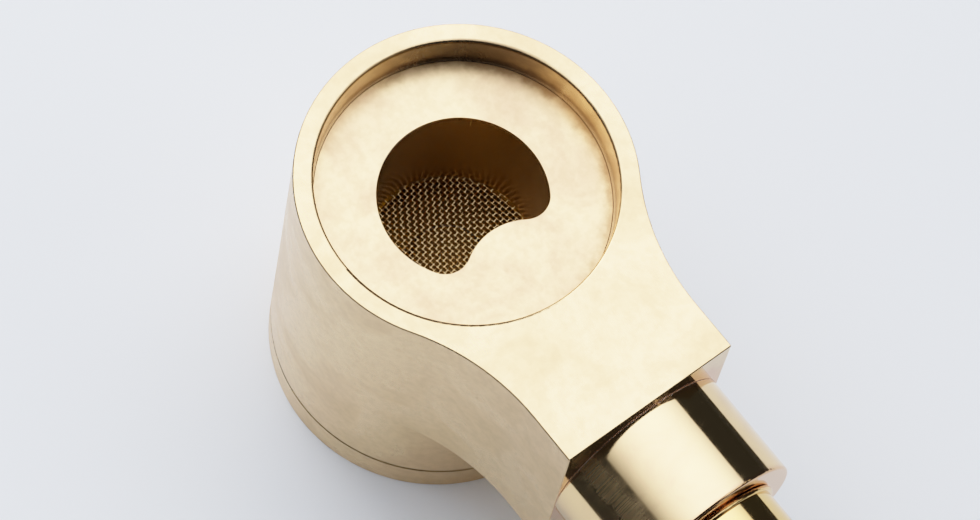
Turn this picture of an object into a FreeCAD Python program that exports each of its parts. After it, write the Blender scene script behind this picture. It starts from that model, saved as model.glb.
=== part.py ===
import FreeCAD, Part
import Sketcher
import math
import os

from FreeCAD import Placement, Rotation, Vector

# A water pressure regulator turned and milled from brass.  Water goes down through the round
# inlet socket, the kidney-shaped port and a woven strainer, past a spring-loaded valve, and then
# up a drilling into the side arm and out of a swivelling tube.
# Frame: the origin is the centre of the base, +Z is up the head's axis, +X runs along the arm.
# Every size is in millimetres.

doc = FreeCAD.newDocument("water_pressure_regulator")

SIZES = {
    # Head, base ring and arm
    "head_radius": 18.0,
    "head_height": 40.9,
    "base_height": 4.1,
    "edge_chamfer": 0.1,
    "joint_chamfer": 0.2,
    "arm_half_width": 10.65,
    "arm_end_x": 30.2,
    "arm_floor_z": 16.25,
    "flank_radius": 26.5,
    # Inlet socket and the strainer cup that forms its floor
    "socket_radius": 15.85,
    "socket_floor_z": 36.8,
    "mouth_fillet": 0.35,
    "flange_radius": 15.6,
    "flange_bevel": 0.03,
    "flange_thickness": 2.2,
    "running_gap": 0.05,
    "cup_bore_radius": 10.5,
    "cup_floor_z": 21.0,
    "port_radius": 9.1,
    "port_corner_radius": 2.8,
    "port_nose_radius": 7.0,
    "port_nose_x": 4.7,
    "screen_radius": 9.7,
    "screen_mid_z": 21.8,
    "screen_thickness": 0.36,
    "screen_ring_bore": 8.95,
    "seal_wire_radius": 0.47,
    "cup_seal_radius": 13.0,
    "dowel_radius": 0.6,
    "dowel_reach": 14.55,
    "dowel_length": 3.3,
    "dowel_depth": 2.0,
    "dowel_hole_depth": 1.4,
    "cut_overrun": 1.0,
    # Valve, seat and piston
    "collecting_floor_z": 17.2,
    "chamber_roof_z": 14.5,
    "seat_radius": 5.0,
    "orifice_radius": 2.6,
    "seat_lip_height": 0.4,
    "seat_lip_width": 0.6,
    "seat_lip_foot": 0.9,
    "valve_opening": 1.1,
    "stem_radius": 1.0,
    "poppet_radius": 4.3,
    "poppet_seal_thickness": 0.8,
    "poppet_thickness": 1.0,
    "poppet_seal_inset": 0.2,
    "poppet_bevel": 0.5,
    "stem_flange_reach": 1.3,
    "stem_flange_thickness": 0.5,
    "stem_nut_height": 1.4,
    "stem_nut_corner": 2.6,
    "stem_tail": 0.2,
    "piston_bore_radius": 13.5,
    "piston_top_z": 13.7,
    "piston_floor_z": 9.9,
    "piston_web": 2.0,
    "piston_groove_z": 11.6,
    "piston_bevel": 0.5,
    "gallery_radius": 15.3,
    "gallery_floor_z": 13.0,
    "gallery_roof_z": 15.2,
    "transfer_x": 13.8,
    "transfer_radius": 1.9,
    # Base cap, adjuster and spring
    "thread_radius": 15.0,
    "thread_top_z": 8.5,
    "thread_bevel": 0.4,
    "cap_groove_offset": 0.3,
    "cap_floor": 2.4,
    "spring_room_radius": 9.2,
    "adjuster_head_radius": 4.45,
    "adjuster_recess": 0.4,
    "adjuster_flange_radius": 5.6,
    "adjuster_thread_radius": 3.0,
    "adjuster_top_z": 8.3,
    "adjuster_flange_thickness": 0.8,
    "adjuster_groove_z": 1.45,
    "adjuster_bevel": 0.25,
    "adjuster_tip_bevel": 0.5,
    "hex_socket_across": 4.0,
    "hex_socket_depth": 2.3,
    "nut_floor_z": 3.4,
    "nut_thickness": 1.5,
    "nut_radius": 8.8,
    "key_reach": 10.1,
    "key_width": 3.0,
    "key_clearance": 0.1,
    "spring_wire_radius": 0.55,
    "spring_mean_radius": 7.8,
    "spring_turns": 3.25,
    "vent_reach": 7.2,
    "vent_radius": 1.25,
    "vent_disc_z": 0.5,
    "vent_disc_thickness": 1.2,
    "spanner_reach": 13.0,
    "spanner_hole_radius": 1.5,
    "spanner_hole_depth": 2.0,
    # Outlet collar and swivelling tube, on an axis along the arm
    "outlet_z": 28.7,
    "arm_bore_radius": 4.5,
    "arm_bore_x": 12.0,
    "shank_radius": 8.4,
    "shank_x": 20.5,
    "shank_bevel": 0.4,
    "gasket_thickness": 1.2,
    "collar_radius": 10.55,
    "collar_end_x": 42.3,
    "collar_fillet": 0.3,
    "tube_radius": 7.6,
    "journal_radius": 7.3,
    "tube_back_gap": 0.2,
    "bead_radius": 8.05,
    "bead_width": 0.6,
    "bead_fillet": 0.25,
    "tube_bore_radius": 5.2,
    "tube_start_x": 33.6,
    "tube_end_x": 64.0,
    "tube_chamfer": 0.6,
    "front_seal_x": 37.4,
    "rear_seal_x": 35.2,
    "snap_ring_x": 39.7,
    "snap_ring_thickness": 1.1,
    "snap_ring_outer": 8.25,
    "snap_ring_inner": 6.8,
    "snap_ring_opening": 2.4,
}

sheet = doc.addObject("Spreadsheet::Sheet", "Sizes")
for row, (alias, number) in enumerate(SIZES.items(), start=1):
    sheet.set(f"A{row}", alias)
    sheet.set(f"B{row}", str(number))
    sheet.setAlias(f"B{row}", alias)
doc.recompute()


class Length:
    """A size that knows both its value and the spreadsheet expression that gives it."""

    def __init__(self, value, text):
        self.value = value
        self.text = text

    def __add__(self, other):
        other = as_length(other)
        return Length(self.value + other.value, f"({self.text} + {other.text})")

    def __sub__(self, other):
        other = as_length(other)
        return Length(self.value - other.value, f"({self.text} - {other.text})")

    def __mul__(self, factor):
        return Length(self.value * factor, f"({self.text} * {factor})")

    def __truediv__(self, factor):
        return Length(self.value / factor, f"({self.text} / {factor})")

    def __neg__(self):
        return Length(-self.value, f"(-{self.text})")


def as_length(number):
    if isinstance(number, Length):
        return number
    return Length(float(number), str(float(number)))


def size(alias):
    return Length(SIZES[alias], f"Sizes.{alias}")


def bind(thing, **lengths):
    """Drives properties of an object from the spreadsheet."""
    for name, length in lengths.items():
        thing.setExpression(name.replace("_", "."), as_length(length).text)


NODES = []


def finish_piece(thing, label):
    thing.Label = label
    NODES.append(thing)
    return thing


# ---------------------------------------------------------------- sketches and features

def new_body(label):
    return finish_piece(doc.addObject("PartDesign::Body", label + "_body"), label)


def new_sketch(body, plane_role, height=None):
    """A sketch on one of the body's own origin planes, lifted along that plane's normal."""
    sketch = body.newObject("Sketcher::SketchObject", "Sketch")
    plane = next(part for part in body.Origin.OriginFeatures if part.Role == plane_role)
    sketch.AttachmentSupport = [(plane, "")]
    sketch.MapMode = "FlatFace"
    if height is not None:
        bind(sketch, AttachmentOffset_Base_z=height)
    return sketch


def constrain(sketch, *terms, length=None):
    """Adds one constraint; a length drives it from the spreadsheet."""
    if length is None:
        return sketch.addConstraint(Sketcher.Constraint(*terms))
    index = sketch.addConstraint(Sketcher.Constraint(*terms, length.value))
    sketch.setExpression(f"Constraints[{index}]", length.text)
    return index


def place_point(sketch, edge, end, across, up):
    """Holds one point of a sketch at a place measured from the origin."""
    for kind, length, axis in (("DistanceX", as_length(across), -2), ("DistanceY", as_length(up), -1)):
        if length.value == 0:
            constrain(sketch, "PointOnObject", edge, end, axis)
        elif length.value > 0:
            constrain(sketch, kind, -1, 1, edge, end, length=length)
        else:
            constrain(sketch, kind, edge, end, -1, 1, length=-length)


def draw_polygon(sketch, points):
    corners = [Vector(as_length(across).value, as_length(up).value, 0) for across, up in points]
    count = len(corners)
    edges = [sketch.addGeometry(Part.LineSegment(corners[i], corners[(i + 1) % count]))
             for i in range(count)]
    for i, edge in enumerate(edges):
        constrain(sketch, "Coincident", edge, 2, edges[(i + 1) % count], 1)
    for edge, (across, up) in zip(edges, points):
        place_point(sketch, edge, 1, across, up)


def draw_circle(sketch, across, up, radius):
    centre = Vector(as_length(across).value, as_length(up).value, 0)
    circle = sketch.addGeometry(Part.Circle(centre, Vector(0, 0, 1), as_length(radius).value))
    place_point(sketch, circle, 3, across, up)
    constrain(sketch, "Radius", circle, length=as_length(radius))


def draw_arc(sketch, centre, radius, start, end):
    """An arc drawn anticlockwise between two angles in radians."""
    circle = Part.Circle(Vector(centre[0], centre[1], 0), Vector(0, 0, 1), radius)
    return sketch.addGeometry(Part.ArcOfCircle(circle, start, end))


def revolve(body, points, kind="PartDesign::Revolution"):
    """Turns a closed outline of (radius, height) points about the Z axis."""
    sketch = new_sketch(body, "XZ_Plane")
    draw_polygon(sketch, points)
    feature = body.newObject(kind, "Turned")
    feature.Profile = sketch
    feature.ReferenceAxis = (sketch, ["V_Axis"])
    feature.Angle = 360
    return feature


def drill(body, plane_role, height, across, up, radius, depth):
    """A round hole cut from a plane against its normal."""
    sketch = new_sketch(body, plane_role, height)
    draw_circle(sketch, across, up, radius)
    pocket = body.newObject("PartDesign::Pocket", "Drilled")
    pocket.Profile = sketch
    bind(pocket, Length=depth)
    return pocket


def turned(label, points):
    body = new_body(label)
    revolve(body, points)
    return body


def lay_along_outlet(body):
    """Turns a piece made about Z so that its height runs along +X on the outlet's axis."""
    body.Placement = Placement(Vector(0, 0, 0), Rotation(Vector(0, 1, 0), 90))
    bind(body, Placement_Base_z=size("outlet_z"))
    return body


def ring_section(inner, outer, low, high):
    return [(inner, low), (outer, low), (outer, high), (inner, high)]


def o_ring(label, radius, middle):
    """A rubber ring about Z, sized by the radius of its wire's centre line."""
    ring = doc.addObject("Part::Torus", label + "_torus")
    bind(ring, Radius1=radius, Radius2=size("seal_wire_radius"), Placement_Base_z=middle)
    return finish_piece(ring, label)


# ---------------------------------------------------------------- shared places

gap = size("running_gap")
chamfer = size("edge_chamfer")
joint_chamfer = size("joint_chamfer")
head_radius = size("head_radius")
head_height = size("head_height")
base_height = size("base_height")
arm_half_width = size("arm_half_width")
arm_end_x = size("arm_end_x")
arm_floor_z = size("arm_floor_z")
flank_radius = size("flank_radius")
outlet_z = size("outlet_z")
seal = size("seal_wire_radius")
groove_half = seal + gap
flange_floor_z = size("socket_floor_z") - size("flange_thickness")
dowel_hole = size("dowel_radius") + gap
seat_top_z = size("collecting_floor_z") + size("seat_lip_height")
poppet_floor_z = seat_top_z + size("valve_opening")
piston_radius = size("piston_bore_radius") - gap
piston_pocket_z = size("piston_top_z") - size("piston_web")
gasket_x = size("shank_x") - size("gasket_thickness")


# ---------------------------------------------------------------- regulator body

def arm_sketch(body):
    """Plan of the arm: straight sides that flare in arcs into the round head."""
    sketch = new_sketch(body, "XY_Plane", arm_floor_z)
    half, end_x = arm_half_width.value, arm_end_x.value
    reach, rise = head_radius.value + flank_radius.value, half + flank_radius.value
    centre_x = math.sqrt(reach ** 2 - rise ** 2)
    root_x = centre_x * head_radius.value / reach
    root_y = rise * head_radius.value / reach
    head = sketch.addGeometry(Part.Circle(Vector(0, 0, 0), Vector(0, 0, 1), head_radius.value), True)
    end = sketch.addGeometry(Part.LineSegment(Vector(end_x, -half, 0), Vector(end_x, half, 0)))
    left = sketch.addGeometry(Part.LineSegment(Vector(end_x, half, 0), Vector(centre_x, half, 0)))
    root_angle = math.atan2(root_y - rise, root_x - centre_x)
    left_arc = draw_arc(sketch, (centre_x, rise), flank_radius.value, root_angle, -math.pi / 2)
    root = sketch.addGeometry(Part.LineSegment(Vector(root_x, root_y, 0), Vector(root_x, -root_y, 0)))
    right_arc = draw_arc(sketch, (centre_x, -rise), flank_radius.value, math.pi / 2, -root_angle)
    right = sketch.addGeometry(Part.LineSegment(Vector(centre_x, -half, 0), Vector(end_x, -half, 0)))
    constrain(sketch, "Coincident", head, 3, -1, 1)
    constrain(sketch, "Radius", head, length=head_radius)
    place_point(sketch, end, 1, arm_end_x, -arm_half_width)
    place_point(sketch, end, 2, arm_end_x, arm_half_width)
    constrain(sketch, "Coincident", end, 2, left, 1)
    constrain(sketch, "Coincident", right, 2, end, 1)
    constrain(sketch, "Horizontal", left)
    constrain(sketch, "Horizontal", right)
    constrain(sketch, "Tangent", left, 2, left_arc, 2)
    constrain(sketch, "Tangent", right, 1, right_arc, 1)
    constrain(sketch, "Radius", left_arc, length=flank_radius)
    constrain(sketch, "Radius", right_arc, length=flank_radius)
    constrain(sketch, "Tangent", left_arc, 1, head)
    constrain(sketch, "Tangent", right_arc, 2, head)
    constrain(sketch, "Coincident", left_arc, 1, root, 1)
    constrain(sketch, "Coincident", root, 2, right_arc, 2)
    return sketch


def edges_where(shape, test):
    """The names of the edges whose start, middle and end all pass a test."""
    names = []
    for number, edge in enumerate(shape.Edges, start=1):
        span = edge.LastParameter - edge.FirstParameter
        points = [edge.valueAt(edge.FirstParameter + span * part) for part in (0.0, 0.5, 1.0)]
        if all(test(point) for point in points):
            names.append(f"Edge{number}")
    return names


def same(first, second):
    return abs(first - second.value) < 1e-4


def on_outline(point):
    """On the top face's outline or round the arm's end."""
    return same(point.z, head_height) or same(point.x, arm_end_x)


def on_foot(point):
    return same(point.z, base_height)


def on_mouth(point):
    """On the rim of the inlet socket."""
    return same(point.z, head_height) and same(math.hypot(point.x, point.y), size("socket_radius"))


def dress(body, kind, label, test, **lengths):
    """Chamfers or fillets the body's edges that pass a test."""
    doc.recompute()
    base = body.Tip
    feature = body.newObject(kind, label)
    feature.Base = (base, edges_where(base.Shape, test))
    bind(feature, **lengths)
    doc.recompute()


def make_regulator_body():
    body = new_body("regulator_body")
    revolve(body, ring_section(as_length(0), head_radius, base_height, head_height))
    arm = body.newObject("PartDesign::Pad", "Arm")
    arm.Profile = arm_sketch(body)
    bind(arm, Length=head_height - arm_floor_z)
    dress(body, "PartDesign::Chamfer", "Deburred", on_outline, Size=chamfer)
    dress(body, "PartDesign::Chamfer", "JointLine", on_foot, Size=joint_chamfer)
    bore = size("piston_bore_radius")
    thread = size("thread_radius") + gap
    socket = size("socket_radius")
    revolve(body, [
        (0, base_height),
        (thread, base_height),
        (thread, size("thread_top_z") + gap),
        (bore, size("thread_top_z") + gap),
        (bore, size("gallery_floor_z")),
        (size("gallery_radius"), size("gallery_floor_z")),
        (size("gallery_radius"), size("gallery_roof_z")),
        (bore, size("gallery_roof_z")),
        (bore, size("chamber_roof_z")),
        (size("seat_radius") + gap, size("chamber_roof_z")),
        (size("seat_radius") + gap, size("collecting_floor_z")),
        (size("cup_bore_radius"), size("collecting_floor_z")),
        (size("cup_bore_radius"), flange_floor_z),
        (size("flange_radius") + gap, flange_floor_z),
        (size("flange_radius") + gap, size("socket_floor_z")),
        (socket, size("socket_floor_z")),
        (socket, head_height),
        (0, head_height),
    ], "PartDesign::Groove")
    dress(body, "PartDesign::Fillet", "SocketMouth", on_mouth, Radius=size("mouth_fillet"))
    drill(body, "YZ_Plane", arm_end_x, 0, outlet_z, size("shank_radius") + gap, arm_end_x - gasket_x)
    drill(body, "YZ_Plane", arm_end_x, 0, outlet_z, size("arm_bore_radius"),
          arm_end_x - size("arm_bore_x"))
    drill(body, "XY_Plane", outlet_z, size("transfer_x"), 0, size("transfer_radius"),
          outlet_z - size("gallery_floor_z"))
    drill(body, "XY_Plane", flange_floor_z, -size("dowel_reach"), 0, dowel_hole, size("dowel_depth"))
    return body


make_regulator_body()

dowel = doc.addObject("Part::Cylinder", "dowel_pin")
bind(dowel, Radius=size("dowel_radius"), Height=size("dowel_length"),
     Placement_Base_x=-size("dowel_reach"), Placement_Base_z=flange_floor_z - size("dowel_depth"))
finish_piece(dowel, "cup_dowel")


# ---------------------------------------------------------------- strainer cup and screen

def port_sketch(body):
    """The kidney-shaped port: a circle with a rounded lobe that comes in from the arm's side."""
    sketch = new_sketch(body, "XY_Plane", size("socket_floor_z"))
    port, corner, nose = (SIZES[key] for key in ("port_radius", "port_corner_radius", "port_nose_radius"))
    nose_x = SIZES["port_nose_x"] + nose
    inner, outer = port - corner, nose + corner
    corner_x = (inner ** 2 - outer ** 2 + nose_x ** 2) / (2 * nose_x)
    corner_y = math.sqrt(inner ** 2 - corner_x ** 2)
    round_angle = math.atan2(corner_y, corner_x)
    nose_angle = math.atan2(corner_y, corner_x - nose_x)
    circle = draw_arc(sketch, (0, 0), port, round_angle, 2 * math.pi - round_angle)
    upper = draw_arc(sketch, (corner_x, corner_y), corner, nose_angle - math.pi, round_angle)
    lower = draw_arc(sketch, (corner_x, -corner_y), corner, -round_angle, math.pi - nose_angle)
    lobe = draw_arc(sketch, (nose_x, 0), nose, nose_angle, 2 * math.pi - nose_angle)
    constrain(sketch, "Coincident", circle, 3, -1, 1)
    constrain(sketch, "Radius", circle, length=size("port_radius"))
    constrain(sketch, "PointOnObject", lobe, 3, -1)
    constrain(sketch, "DistanceX", -1, 1, lobe, 3, length=size("port_nose_x") + size("port_nose_radius"))
    constrain(sketch, "Radius", lobe, length=size("port_nose_radius"))
    constrain(sketch, "Radius", upper, length=size("port_corner_radius"))
    constrain(sketch, "Radius", lower, length=size("port_corner_radius"))
    constrain(sketch, "Tangent", circle, 1, upper, 2)
    constrain(sketch, "Tangent", upper, 1, lobe, 1)
    constrain(sketch, "Tangent", lobe, 2, lower, 2)
    constrain(sketch, "Tangent", lower, 1, circle, 2)
    return sketch


def make_strainer_cup():
    flange = size("flange_radius")
    bevel = size("flange_bevel")
    barrel = size("cup_bore_radius") - gap
    groove_inner = size("cup_seal_radius") - groove_half
    groove_outer = size("cup_seal_radius") + groove_half
    groove_roof = flange_floor_z + groove_half * 2
    screen_roof = size("screen_mid_z") + size("screen_thickness") / 2
    body = new_body("strainer_cup")
    revolve(body, [
        (0, screen_roof),
        (size("screen_radius") + gap, screen_roof),
        (size("screen_radius") + gap, size("cup_floor_z")),
        (barrel, size("cup_floor_z")),
        (barrel, flange_floor_z),
        (groove_inner, flange_floor_z),
        (groove_inner, groove_roof),
        (groove_outer, groove_roof),
        (groove_outer, flange_floor_z),
        (flange, flange_floor_z),
        (flange, size("socket_floor_z") - bevel),
        (flange - bevel, size("socket_floor_z")),
        (0, size("socket_floor_z")),
    ])
    port = body.newObject("PartDesign::Pocket", "Port")
    port.Profile = port_sketch(body)
    bind(port, Length=size("socket_floor_z") - screen_roof + size("cut_overrun"))
    hole = new_sketch(body, "XY_Plane", flange_floor_z)
    draw_circle(hole, -size("dowel_reach"), 0, dowel_hole)
    pocket = body.newObject("PartDesign::Pocket", "DowelHole")
    pocket.Profile = hole
    pocket.Reversed = True
    bind(pocket, Length=size("dowel_hole_depth"))
    return body


make_strainer_cup()
o_ring("cup_o_ring", size("cup_seal_radius"), flange_floor_z + groove_half)

screen_floor = size("screen_mid_z") - size("screen_thickness") / 2
screen = doc.addObject("Part::Cylinder", "screen_disc")
bind(screen, Radius=size("screen_radius"), Height=size("screen_thickness"), Placement_Base_z=screen_floor)
finish_piece(screen, "strainer_screen")
turned("screen_ring", ring_section(size("screen_ring_bore"), size("screen_radius"),
                                   size("cup_floor_z") + gap, screen_floor))


# ---------------------------------------------------------------- seat, valve and piston

turned("seat_insert", [
    (size("orifice_radius"), size("chamber_roof_z")),
    (size("seat_radius"), size("chamber_roof_z")),
    (size("seat_radius"), size("collecting_floor_z")),
    (size("orifice_radius") + size("seat_lip_foot"), size("collecting_floor_z")),
    (size("orifice_radius") + size("seat_lip_width"), seat_top_z),
    (size("orifice_radius"), seat_top_z),
])

seal_top_z = poppet_floor_z + size("poppet_seal_thickness")
poppet_top_z = seal_top_z + size("poppet_thickness")
stem_thread = size("stem_radius") + gap
turned("poppet_seal", ring_section(
    stem_thread, size("poppet_radius") - size("poppet_seal_inset"), poppet_floor_z, seal_top_z))
turned("valve_poppet", [
    (stem_thread, seal_top_z),
    (size("poppet_radius"), seal_top_z),
    (size("poppet_radius"), poppet_top_z - size("poppet_bevel")),
    (size("poppet_radius") - size("poppet_bevel"), poppet_top_z),
    (stem_thread, poppet_top_z),
])

nut_height = size("stem_nut_height")
stem_floor_z = piston_pocket_z - nut_height - size("stem_tail")
stem_flange = size("stem_radius") + size("stem_flange_reach")
stem_flange_top = size("piston_top_z") + size("stem_flange_thickness")
turned("valve_stem", [
    (0, stem_floor_z),
    (size("stem_radius"), stem_floor_z),
    (size("stem_radius"), size("piston_top_z")),
    (stem_flange, size("piston_top_z")),
    (stem_flange, stem_flange_top),
    (size("stem_radius"), stem_flange_top),
    (size("stem_radius"), poppet_top_z),
    (0, poppet_top_z),
])

piston_groove_radius = piston_radius - groove_half * 2
turned("piston", [
    (stem_thread, piston_pocket_z),
    (size("spring_room_radius"), piston_pocket_z),
    (size("spring_room_radius"), size("piston_floor_z")),
    (piston_radius, size("piston_floor_z")),
    (piston_radius, size("piston_groove_z") - groove_half),
    (piston_groove_radius, size("piston_groove_z") - groove_half),
    (piston_groove_radius, size("piston_groove_z") + groove_half),
    (piston_radius, size("piston_groove_z") + groove_half),
    (piston_radius, size("piston_top_z") - size("piston_bevel")),
    (piston_radius - size("piston_bevel"), size("piston_top_z")),
    (stem_thread, size("piston_top_z")),
])
o_ring("piston_o_ring", piston_radius - groove_half, size("piston_groove_z"))

nut_blank = doc.addObject("Part::Prism", "stem_nut_blank")
nut_blank.Polygon = 6
bind(nut_blank, Circumradius=size("stem_nut_corner"), Height=nut_height,
     Placement_Base_z=piston_pocket_z - nut_height)
nut_bore = doc.addObject("Part::Cylinder", "stem_nut_bore")
bind(nut_bore, Radius=stem_thread, Height=nut_height * 2, Placement_Base_z=piston_pocket_z - nut_height * 1.5)
stem_nut = doc.addObject("Part::Cut", "stem_nut_cut")
stem_nut.Base = nut_blank
stem_nut.Tool = nut_bore
finish_piece(stem_nut, "stem_nut")


# ---------------------------------------------------------------- base cap, adjuster and spring

def make_base_cap():
    room = size("spring_room_radius")
    thread = size("thread_radius")
    groove_radius = thread - groove_half * 2
    groove_floor = base_height + size("cap_groove_offset")
    groove_top = groove_floor + groove_half * 2
    thread_bevel = size("thread_bevel")
    hole = size("adjuster_head_radius") + gap
    body = new_body("base_cap")
    revolve(body, [
        (hole, 0),
        (head_radius - chamfer, 0),
        (head_radius, chamfer),
        (head_radius, base_height - joint_chamfer),
        (head_radius - joint_chamfer, base_height),
        (thread, base_height),
        (thread, groove_floor),
        (groove_radius, groove_floor),
        (groove_radius, groove_top),
        (thread, groove_top),
        (thread, size("thread_top_z") - thread_bevel),
        (thread - thread_bevel, size("thread_top_z")),
        (room, size("thread_top_z")),
        (room, size("cap_floor")),
        (hole, size("cap_floor")),
    ])
    keyways = new_sketch(body, "XY_Plane", size("thread_top_z"))
    half_length = size("key_reach") + size("key_clearance")
    half_width = size("key_width") / 2 + size("key_clearance")
    draw_polygon(keyways, [(-half_length, -half_width), (half_length, -half_width),
                           (half_length, half_width), (-half_length, half_width)])
    cut = body.newObject("PartDesign::Pocket", "Keyways")
    cut.Profile = keyways
    bind(cut, Length=size("thread_top_z") - size("cap_floor"))
    drill(body, "XY_Plane", size("cap_floor"), 0, size("vent_reach"), size("vent_radius"), size("cap_floor"))
    spanner = new_sketch(body, "XY_Plane", size("spanner_hole_depth"))
    draw_circle(spanner, size("spanner_reach"), 0, size("spanner_hole_radius"))
    holes = body.newObject("PartDesign::Pocket", "SpannerHole")
    holes.Profile = spanner
    bind(holes, Length=size("spanner_hole_depth"))
    doc.recompute()
    pair = body.newObject("PartDesign::PolarPattern", "SpannerHoles")
    pair.Originals = [holes]
    pair.Axis = (spanner, ["N_Axis"])
    pair.Angle = 360
    pair.Occurrences = 4
    body.Tip = pair
    return body


make_base_cap()
o_ring("base_cap_o_ring", size("thread_radius") - groove_half,
       base_height + size("cap_groove_offset") + groove_half)

vent = doc.addObject("Part::Cylinder", "vent_plug")
bind(vent, Radius=size("vent_radius") - gap, Height=size("vent_disc_thickness"),
     Placement_Base_y=size("vent_reach"), Placement_Base_z=size("vent_disc_z"))
finish_piece(vent, "vent_disc")


def make_adjusting_screw():
    head = size("adjuster_head_radius")
    bevel = size("adjuster_bevel")
    tip_bevel = size("adjuster_tip_bevel")
    groove_middle = size("adjuster_groove_z")
    groove_radius = head - groove_half * 2
    flange_top = size("cap_floor") + size("adjuster_flange_thickness")
    body = new_body("adjusting_screw")
    revolve(body, [
        (0, size("adjuster_recess")),
        (head - bevel, size("adjuster_recess")),
        (head, size("adjuster_recess") + bevel),
        (head, groove_middle - groove_half),
        (groove_radius, groove_middle - groove_half),
        (groove_radius, groove_middle + groove_half),
        (head, groove_middle + groove_half),
        (head, size("cap_floor")),
        (size("adjuster_flange_radius"), size("cap_floor")),
        (size("adjuster_flange_radius"), flange_top),
        (size("adjuster_thread_radius"), flange_top),
        (size("adjuster_thread_radius"), size("adjuster_top_z") - tip_bevel),
        (size("adjuster_thread_radius") - tip_bevel, size("adjuster_top_z")),
        (0, size("adjuster_top_z")),
    ])
    corner_radius = size("hex_socket_across") / math.sqrt(3)
    sketch = new_sketch(body, "XY_Plane", size("adjuster_recess") + size("hex_socket_depth"))
    draw_polygon(sketch, [(corner_radius * math.cos(math.radians(60 * turn + 30)),
                           corner_radius * math.sin(math.radians(60 * turn + 30))) for turn in range(6)])
    socket = body.newObject("PartDesign::Pocket", "HexSocket")
    socket.Profile = sketch
    bind(socket, Length=size("hex_socket_depth"))
    o_ring("adjuster_o_ring", head - groove_half, groove_middle)
    return body


make_adjusting_screw()

nut_floor = size("nut_floor_z")
nut_top = nut_floor + size("nut_thickness")
seat_plate = doc.addObject("Part::Cylinder", "spring_seat_plate")
bind(seat_plate, Radius=size("nut_radius"), Height=size("nut_thickness"), Placement_Base_z=nut_floor)
seat_keys = doc.addObject("Part::Box", "spring_seat_keys")
bind(seat_keys, Length=size("key_reach") * 2, Width=size("key_width"), Height=size("nut_thickness"),
     Placement_Base_x=-size("key_reach"), Placement_Base_y=-size("key_width") / 2,
     Placement_Base_z=nut_floor)
seat_thread = doc.addObject("Part::Cylinder", "spring_seat_thread")
bind(seat_thread, Radius=size("adjuster_thread_radius") + gap, Height=size("nut_thickness") * 2,
     Placement_Base_z=nut_floor - size("nut_thickness") / 2)
seat_blank = doc.addObject("Part::Fuse", "spring_seat_blank")
seat_blank.Base = seat_plate
seat_blank.Tool = seat_keys
seat_nut = doc.addObject("Part::Cut", "spring_seat_cut")
seat_nut.Base = seat_blank
seat_nut.Tool = seat_thread
finish_piece(seat_nut, "spring_seat_nut")


def make_spring():
    wire = size("spring_wire_radius")
    rise = piston_pocket_z - nut_top - wire * 2
    body = new_body("regulating_spring")
    sketch = new_sketch(body, "XZ_Plane")
    draw_circle(sketch, size("spring_mean_radius"), nut_top + wire, wire)
    coil = body.newObject("PartDesign::AdditiveHelix", "Coil")
    coil.Profile = sketch
    coil.ReferenceAxis = (sketch, ["V_Axis"])
    coil.Mode = "height-turns-angle"
    bind(coil, Height=rise, Turns=size("spring_turns"))
    return body


make_spring()


# ---------------------------------------------------------------- outlet collar and tube

def on_collar_front(point):
    return same(point.z, size("collar_end_x")) and same(math.hypot(point.x, point.y), size("collar_radius"))


def make_outlet_collar():
    bore = size("journal_radius") + gap
    shank = size("shank_radius")
    shank_bevel = size("shank_bevel")
    back_wall_x = size("tube_start_x") - size("tube_back_gap")
    ring_low = size("snap_ring_x") - size("snap_ring_thickness") / 2 - gap
    ring_high = size("snap_ring_x") + size("snap_ring_thickness") / 2 + gap
    ring_room = size("snap_ring_outer") + gap
    collar = turned("outlet_collar", [
        (size("tube_bore_radius"), size("shank_x")),
        (shank - shank_bevel, size("shank_x")),
        (shank, size("shank_x") + shank_bevel),
        (shank, arm_end_x),
        (size("collar_radius") - chamfer / 2, arm_end_x),
        (size("collar_radius"), arm_end_x + chamfer / 2),
        (size("collar_radius"), size("collar_end_x")),
        (bore, size("collar_end_x")),
        (bore, ring_high),
        (ring_room, ring_high),
        (ring_room, ring_low),
        (bore, ring_low),
        (bore, back_wall_x),
        (size("tube_bore_radius"), back_wall_x),
    ])
    dress(collar, "PartDesign::Fillet", "FrontEdge", on_collar_front, Radius=size("collar_fillet"))
    return lay_along_outlet(collar)


make_outlet_collar()
lay_along_outlet(turned("collar_gasket", ring_section(
    size("tube_bore_radius"), size("shank_radius"), gasket_x, size("shank_x"))))


def make_snap_ring():
    half = size("snap_ring_thickness") / 2
    body = turned("swivel_snap_ring", ring_section(
        size("snap_ring_inner"), size("snap_ring_outer"), size("snap_ring_x") - half,
        size("snap_ring_x") + half))
    opening = new_sketch(body, "XY_Plane", size("snap_ring_x") + half)
    half_gap = size("snap_ring_opening") / 2
    cut_end = size("snap_ring_outer") + size("cut_overrun")
    draw_polygon(opening, [(0, -half_gap), (cut_end, -half_gap), (cut_end, half_gap), (0, half_gap)])
    cut = body.newObject("PartDesign::Pocket", "Opening")
    cut.Profile = opening
    bind(cut, Length=size("snap_ring_thickness"))
    return lay_along_outlet(body)


make_snap_ring()


def on_bead(point):
    return same(math.hypot(point.x, point.y), size("bead_radius"))


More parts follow.
